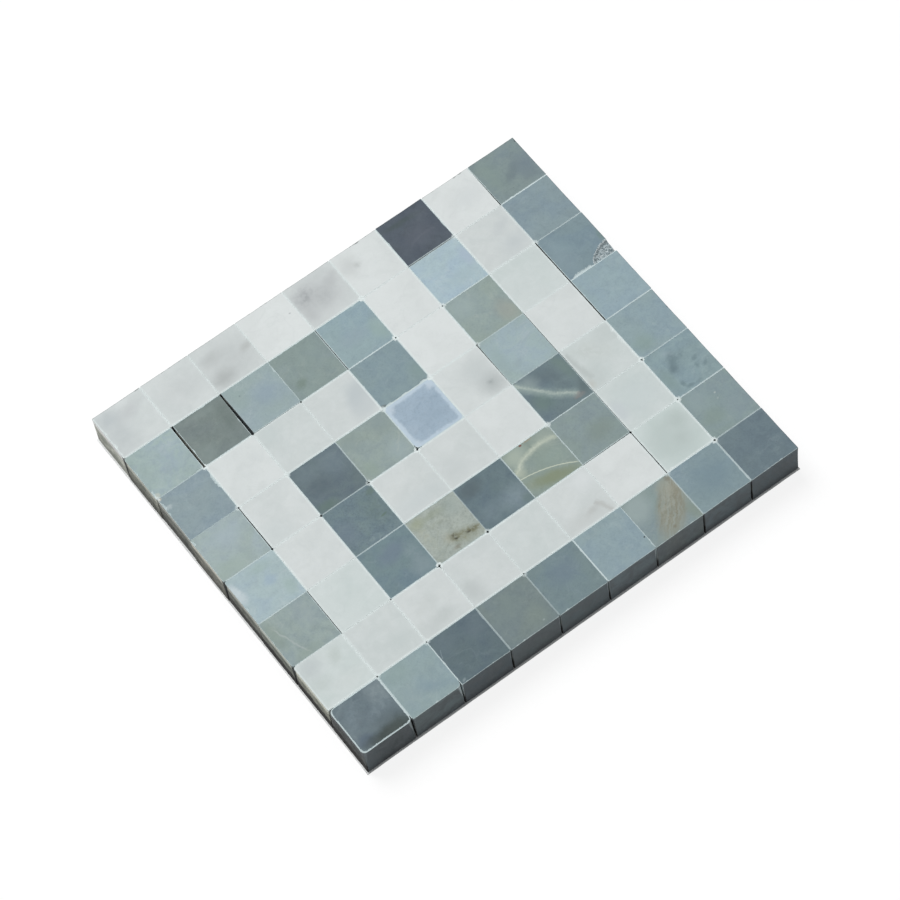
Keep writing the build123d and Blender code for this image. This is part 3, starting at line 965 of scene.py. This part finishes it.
marks_of[6, 4] = [
    fleck((191, 199, 201), 0.65, 5.9, -1.4, 4.2, 6.4, -42, 0.35),
    patch((186, 195, 198), 0.45, 4.6, 1, 2.2, 3.6, -20),
]
marks_of[6, 5] = [
    haze((128, 150, 148), 0.5, 6.4, -3.6, 1.8, 3, 0, 0.6),
    fleck((106, 117, 116), 0.8, -6.9, -7.1, 0.9, 0.45, -20, 0.6),
    fleck((108, 118, 118), 0.6, 5.6, -7.2, 0.8, 0.3, 0, 0.6),
]
marks_of[6, 7] = [
    haze((158, 160, 150), 0.5, 5, -4, 2.6, 3.6, 20, 0.7),
    haze((160, 177, 177), 0.5, -4, 4.2, 3.4, 3),
]
marks_of[6, 9] = [
    haze((134, 156, 162), 0.55, -3, 2, 3.4, 1.6, -40),
    haze((136, 156, 165), 0.5, -5, -1, 2.4, 6),
    haze((112, 136, 130), 0.5, 7.2, -1.4, 0.9, 1.8, 0, 0.6),
]
marks_of[7, 1] = [
    patch((178, 192, 196), 0.5, 3.3, 3.4, 2.2, 1.6, 20, 0.7, patchy=0.7),
    patch((148, 167, 164), 0.5, -5.4, 0.4, 1.4, 3.6, 0, 0.7, patchy=0.5),
    haze((150, 168, 180), 0.5, 0.4, -1.4, 3.8, 2.4, 20, patchy=0.5),
    patch((190, 196, 186), 0.7, -6.8, -6.6, 0.8, 0.7, 0, 0.5),
]
marks_of[7, 2] = [
    haze((132, 147, 144), 0.5, -4.8, -4.8, 2.8, 2.6),
    patch((130, 144, 141), 0.5, 0.6, 6, 4.6, 1, 0, 0.8),
    haze((98, 112, 108), 0.5, 5.4, 1, 2, 4.2, 0, 0.7),
]
marks_of[7, 3] = [
    haze((140, 159, 174), 0.5, 2, 0.4, 3.6, 3),
    haze((144, 163, 160), 0.5, -4.6, 3.4, 2, 3),
    dot((112, 128, 132), 0.55, -3.9, 3.9, 0.26, 0.22),
]
marks_of[7, 4] = [
    patch((108, 126, 114), 0.6, -4.4, -3.4, 1.8, 1.1, 20, 0.7),
    haze((138, 156, 154), 0.4, 3, 2, 3, 3, 20, 0.7),
]
marks_of[7, 5] = [
    haze((150, 173, 167), 0.5, 5.7, -2.8, 2, 3.4, 0, 0.6),
    haze((146, 164, 173), 0.5, -1, -0.5, 4, 2.4, 0, 0.7),
]
marks_of[7, 7] = [
    haze((168, 182, 202), 0.5, 6.6, 0.8, 1.6, 3, 0, 0.6),
    haze((166, 186, 190), 0.5, 1, -3.4, 4, 2, 0, 0.7),
]
marks_of[7, 8] = [
    patch((192, 199, 201), 0.5, 3.6, 2.4, 3, 1.4, 30),
    patch((194, 201, 204), 0.5, 3.4, -4, 3, 2.4),
]
marks_of[8, 1] = [
    patch((186, 193, 194), 0.68, -4.2, -1.6, 3.6, 5.4),
    patch((184, 188, 190), 0.5, 1.6, 3.6, 3.4, 1.8, 20),
    patch((180, 188, 191), 0.6, -4.2, 4.6, 2.8, 2),
]
marks_of[8, 2] = [patch((194, 199, 199), 0.5, 1, 0, 5.4, 4)]
marks_of[8, 3] = [
    patch((190, 195, 195), 0.6, 0, -0.5, 7.6, 6.4, 0, 0.8),
    patch((176, 180, 178), 0.65, 5.9, 0, 1.6, 1, 20),
    patch((168, 173, 172), 0.7, -4, -4.4, 3, 2, 10),
    patch((180, 185, 184), 0.55, -3.6, 2.6, 2.8, 1.6, 10),
]
marks_of[8, 4] = [dot((176, 183, 183), 0.7, 5.5, 0.8, 0.3, 0.22, 0, 0.6)]
marks_of[8, 5] = [
    patch((190, 194, 195), 0.7, -0.5, 0.4, 7.2, 6, 20, 0.9),
    patch((168, 172, 174), 0.75, -4.3, 2.4, 3.2, 2.4, 30, patchy=0.3),
    patch((152, 157, 159), 0.5, -3.6, 2.2, 1.9, 1.1, 40, patchy=0.6),
    patch((178, 182, 183), 0.55, -5.4, -3, 1.6, 2.6),
    patch((172, 177, 178), 0.6, 0.2, -0.4, 3, 2.4, 20, patchy=0.3),
    patch((180, 184, 185), 0.5, 4.8, 2.6, 2.8, 1.3, 30),
]
marks_of[8, 6] = [
    patch((172, 178, 175), 0.45, -2.6, 1.6, 0.7, 0.8),
    patch((194, 198, 197), 0.55, -4.6, 2.6, 2.2, 2.6),
]
marks_of[8, 7] = [
    patch((66, 80, 80), 0.6, -1.2, 4.9, 5.4, 0.8, -4, 0.8),
    haze((92, 98, 110), 0.45, 0.6, -1.4, 4.6, 3),
    haze((98, 106, 115), 0.4, 4.4, 3.8, 2.4, 2.2, patchy=0.4),
    curve((104, 110, 120), 0.2, (-3, -3), (1, -1.6), (5, -2), 0.4, 0.9),
]
marks_of[8, 8] = [patch((204, 210, 211), 0.4, 2.4, 0, 4, 2.4)]
marks_of[8, 9] = [
    haze((112, 127, 138), 0.6, 4.6, -1.6, 2.8, 4.2),
    patch((104, 119, 126), 0.5, 0.6, -1.4, 3, 1.2, 40, 0.9),
    haze((132, 151, 145), 0.55, -4.4, 1.4, 2.8, 4.6),
]


BROKEN = (6, 9)
BREAK_ALONG_JOINT = 7.0
BREAK_ALONG_SIDE = 4.2


def break_of_corner(x, y):
    """How far the broken corner of a chip is below the top."""
    u = max((places[BROKEN][2] - x) / BREAK_ALONG_JOINT, 0.0)
    v = max((y - places[BROKEN][1]) / BREAK_ALONG_SIDE, 0.0)
    inside = 1 - (u ** 1.7 + v ** 1.7) ** (1 / 1.7)
    if inside <= 0:
        return 0.0
    p = Vector((x, y))
    uneven = wave(p, 1.1, 3.0) * 0.22 + wave(p, 2.6, 5.0) * 0.10
    return max(0.05, 0.45 * min(inside / 0.15, 1.0) + inside + uneven * min(inside / 0.1, 1.0))


# Stones by letter, and what is said of each: three colours and three amounts
SAID = ("base", "cloud", "vein", "vein_amount", "speckle", "mottle")
palette = {
    "a": ((103, 119, 129), (109, 125, 132), (150, 165, 168), 0.2),
    "b": ((91, 109, 120), (98, 116, 120), (140, 155, 160), 0.15, 0.2),
    "c": ((112, 132, 142), (118, 137, 140), (160, 176, 180), 0.15, 0.2),
    "n": ((129, 149, 158), (134, 153, 156), (170, 184, 188), 0.15, 0.15),
    "d": ((140, 161, 170), (143, 163, 166), (180, 192, 192), 0.15, 0.15),
    "e": ((161, 182, 194), (164, 184, 188), (200, 210, 212), 0.2),
    "f": ((152, 173, 188), (158, 178, 192), (196, 206, 214), 0.1),
    "g": ((158, 176, 184), (156, 174, 172), (190, 200, 200), 0.2, 0.1),
    "h": ((108, 122, 121), (112, 126, 122), (150, 162, 154), 0.15, 0.25),
    "i": ((131, 148, 152), (133, 150, 147), (168, 178, 170), 0.15, 0.2),
    "j": ((143, 160, 162), (146, 162, 157), (184, 192, 184), 0.2, 0.15),
    "k": ((155, 166, 160), (163, 172, 165), (128, 136, 108), 0.25, 0.3),
    "o": ((112, 129, 131), (116, 132, 129), (150, 162, 156), 0.15, 0.25),
    "m": ((71, 82, 92), (78, 89, 97), (58, 66, 68), 0.3, 0, 0.4),
}
# Ways in which single chips differ from their kind
special = {
    (1, 1): dict(base=(97, 113, 121), cloud=(102, 118, 124)),
    (3, 3): dict(base=(104, 126, 137), cloud=(110, 132, 136)),
    (3, 6): dict(base=(134, 150, 147), cloud=(136, 151, 142)),
    (4, 7): dict(base=(100, 118, 128), cloud=(106, 124, 128)),
    (4, 3): dict(base=(99, 119, 129), cloud=(105, 124, 127), grain=2.2, mottle=0.9),
    (3, 4): dict(mottle=0.9, grain=1.8), (5, 5): dict(halo=(1.25, (191, 208, 221), 0.85)),
    (7, 1): dict(mottle=0.9), (3, 1): dict(mottle=0.8),
    (3, 9): dict(base=(133, 155, 163), cloud=(137, 158, 161), mottle=0.7),
    (8, 9): dict(base=(123, 140, 146), cloud=(126, 142, 141), mottle=0.7),
    (1, 3): dict(base=(84, 102, 113), cloud=(90, 108, 113)),
    (6, 9): dict(base=(120, 141, 152), cloud=(124, 144, 150)),
    (7, 3): dict(base=(148, 166, 172), cloud=(147, 165, 165)),
    (5, 9): dict(base=(145, 166, 176), cloud=(147, 168, 173)),
}

slots = {entry["node"]: entry["material_slot"] for entry in frame["record"]["subparts"]}
for (row, column), letter in sorted((place, LAYOUT[place[0] - 1][place[1] - 1]) for place in places):
    if letter == ".":
        continue
    rng = random.Random(row * 31 + column * 7)
    look = dict(zip(SAID, palette[letter]))
    by = rng.uniform(0.98, 1.02)
    tint = (rng.uniform(-1.5, 1.5), 0, rng.uniform(-2, 2))
    look["base"] = toned(look["base"], by, tint)
    look["cloud"] = toned(look["cloud"], by, tint)
    look.update(special.get((row, column), {}))
    material = stone(f"stone_r{row}_c{column}", row, [column], **look)
    builder = Builder()
    extra = {}
    if (row, column) == BROKEN:
        extra = {"top_rings": [0.3 + 0.28 * i for i in range(20)] + [6.6], "lowered": break_of_corner}
    if (row, column) == (5, 5):
        extra = {"softness": 1.8}
    add_chip(builder, (row, column), **extra)
    node = f"grey_chip_r{row}_c{column}"
    builder.make(f"stone_r{row}_c{column}", material, slots[node], node)

for row, row_tones in tones.items():
    columns = [column for column in range(1, COLUMNS + 1) if is_white((row, column))]
    material = stone(
        f"white_stone_r{row}", row, columns, (209, 217, 219), (216, 222, 223), (192, 199, 199), 0.16,
        mottle=0.14, grain=0.22, saw=(178, 179, 175),
    )
    builder = Builder()
    for column, tone in zip(columns, row_tones):
        add_chip(builder, (row, column), tone=tone)
    builder.make(f"white_stones_r{row}", material, "white_marble", f"white_chips_r{row}")

# The net

EDGE_STRAND = 1.6
FLAT_YARNS = 17
TWISTED_PAIRS = 19
FLAT_SIZE = (0.9, 0.24)
TWISTED_SIZE = (0.46, 0.28)
EDGE_STEPS = 60
net_x, net_y, net_top = (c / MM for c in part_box(NET)[1])
net_middle = net_top / 2
net_pitch_x = (2 * net_x - EDGE_STRAND) / (TWISTED_PAIRS + 1)
net_pitch_y = (2 * net_y - EDGE_STRAND) / (FLAT_YARNS + 1)


def add_yarn(builder, path, width, thickness, along_x):
    """A yarn with an oval section that follows path, which runs along x or along y."""
    rings = []
    for x, y, z in path:
        ring = []
        for k in range(8):
            a = 2 * math.pi * k / 8
            sideways = math.cos(a) * width / 2
            upwards = math.sin(a) * thickness / 2
            q = (x, y + sideways, z + upwards) if along_x else (x - sideways, y, z + upwards)
            ring.append(builder.point(*q, quarry=q))
        rings.append(ring)
    for a, b in zip(rings, rings[1:]):
        builder.loop(a, b, across=True)
    builder.faces.append(tuple(rings[0]))
    builder.faces.append(tuple(reversed(rings[-1])))


def spread(reach, count):
    """Even steps from -reach to reach."""
    return [-reach + 2 * reach * i / count for i in range(count + 1)]


def make_net():
    builder = Builder()
    rng = random.Random(5)
    # Flat yarns along the rows
    for j in range(FLAT_YARNS):
        y = (j - FLAT_YARNS // 2) * net_pitch_y
        phase = rng.uniform(0, 9)
        path = []
        for x in spread(net_x - EDGE_STRAND * 0.6, 120):
            bend = 0.06 * noise.noise(Vector((x * 0.08, phase, 0)))
            path.append((x, y + bend, net_middle + 0.03 * math.sin(math.pi * x / net_pitch_x)))
        add_yarn(builder, path, *FLAT_SIZE, True)
    # Twisted pairs across them, one yarn over and one under each flat yarn
    for i in range(TWISTED_PAIRS):
        x = (i - TWISTED_PAIRS // 2) * net_pitch_x
        for side in (1, -1):
            path = []
            for y in spread(net_y - EDGE_STRAND * 0.6, 18 * 8):
                turn = math.pi * y / net_pitch_y + math.pi / 2
                path.append((x + side * 0.21 * math.cos(turn), y, net_middle + side * 0.14 * math.sin(turn)))
            add_yarn(builder, path, *TWISTED_SIZE, False)
    # The edge: two yarns side by side in a coat, with mitred corners
    profile = []
    for k in range(12):
        c, s = math.cos(2 * math.pi * k / 12), math.sin(2 * math.pi * k / 12)
        across = math.copysign(abs(c) ** 0.55, c) * EDGE_STRAND / 2
        profile.append((across, math.copysign(abs(s) ** 0.7, s) * net_top / 2))
    rings = []
    for n, side in enumerate(SIDES):
        out, before, after = OUT[side], OUT[SIDES[n - 1]], OUT[SIDES[(n + 1) % 4]]
        for i in range(EDGE_STEPS):
            x, y = ((reach - EDGE_STRAND / 2) * (o + b + (a - b) * i / EDGE_STEPS)
                    for reach, o, b, a in zip((net_x, net_y), out, before, after))
            outwards = out if i else out + before
            ring = []
            for across, upwards in profile:
                if across > 0.3 and i > 1:
                    across -= 0.05 * (1 + noise.noise(Vector((x * 0.6, y * 0.6, 1.0))))
                q = (x + outwards.x * across, y + outwards.y * across, net_middle + upwards)
                ring.append(builder.point(*q, quarry=q))
            rings.append(ring)
    for a, b in zip(rings, rings[1:] + rings[:1]):
        builder.loop(a, b, across=True)
    return builder


def net_material():
    material = bpy.data.materials.new("coated_glass_fibre")
    s = Shader(material)
    where = s.attribute("quarry", "Vector")
    fibres = s.noise(where, 3.5)
    s.colour = s.mix(s.ramp(s.noise(where, 0.22), 0.35, 0.65), (242, 244, 243), (248, 249, 248))
    s.paint((214, 217, 215), s.ramp(fibres, 0.30, 0.60, 0.35, 0.0))
    s.surface(s.ramp(fibres, 0.3, 0.7, 0.55, 0.75), 0.3, fibres, 0.6, 0.0002)
    return material


make_net().make("woven_net", net_material(), "mesh_net", NET, smooth=True)

# Floor, light and camera


def of_rays(s, *kinds):
    """1 for rays of these kinds, and 0 for others."""
    return s.highest(*[s.node("LightPath", {}, kind) for kind in kinds])


def make_floor():
    """A floor that shows white to the camera, and lights the tile like a pale grey one."""
    material = bpy.data.materials.new("studio_floor")
    s = Shader(material)
    paper = s.noise(s.node("TexCoord", {}, "Object"), 900.0, 2.0, 0.5)
    white = s.node("BsdfDiffuse", {"Color": s.mix(s.ramp(paper, 0.3, 0.7), (112, 112, 112), (116, 116, 116))})
    lit = s.node("AddShader", {0: white, 1: s.node("Emission", {"Strength": 0.86})})
    grey = s.node("BsdfDiffuse", {"Color": (0.80, 0.80, 0.80, 1)})
    seen = of_rays(s, "Is Camera Ray", "Is Glossy Ray", "Is Transmission Ray")
    s.end(s.node("MixShader", {0: seen, 1: grey, 2: lit}))
    mesh = bpy.data.meshes.new("floor")
    r = 3.0
    z = -0.00003
    mesh.from_pydata([(-r, -r, z), (r, -r, z), (r, r, z), (-r, r, z)], [], [(0, 1, 2, 3)])
    mesh.materials.append(material)
    add_object("floor", mesh)


def make_world():
    """A plain white backdrop, and a soft bluish light from all round."""
    world = bpy.data.worlds.new("studio")
    bpy.context.scene.world = world
    s = Shader(world, "World")
    soft = s.node("Background", {0: (0.96, 0.98, 1.0, 1), 1: 0.24})
    plain = s.node("Background", {0: (1, 1, 1, 1), 1: 1.0})
    seen = of_rays(s, "Is Camera Ray", "Is Transmission Ray")
    s.end(s.node("MixShader", {0: seen, 1: soft, 2: plain}))


def make_lamp():
    lamp = bpy.data.lights.new("key", "AREA")
    lamp.shape = "DISK"
    lamp.size = 2.4
    lamp.energy = 120.0
    made = add_object("key", lamp)
    made.location = (-0.50, 1.90, 3.10)
    made.rotation_mode = "QUATERNION"
    made.rotation_quaternion = (-made.location).to_track_quat("-Z", "Y")


def make_camera():
    azimuth, elevation, roll = (math.radians(a) for a in (-27.55, 61.02, -10.03))
    away = 1.01505
    look_at = Vector((1.73, -0.01, lowest)) * MM
    right = Vector((math.cos(azimuth), math.sin(azimuth), 0))
    level = math.cos(elevation)
    back = Vector((math.sin(azimuth) * level, -math.cos(azimuth) * level, math.sin(elevation)))
    up = back.cross(right)
    across = math.cos(roll) * right + math.sin(roll) * up
    upward = -math.sin(roll) * right + math.cos(roll) * up
    data = bpy.data.cameras.new("camera")
    data.sensor_width = 36.0
    data.lens = 3903.6 / 900 * 36.0
    data.clip_start = 0.01
    data.clip_end = 20.0
    camera = add_object("camera", data)
    turn = Matrix((across, upward, back)).transposed().to_4x4()
    camera.matrix_world = Matrix.Translation(look_at + back * away) @ turn
    bpy.context.scene.camera = camera


make_floor()
make_world()
make_lamp()
make_camera()
bpy.context.scene.view_settings.view_transform = "Standard"
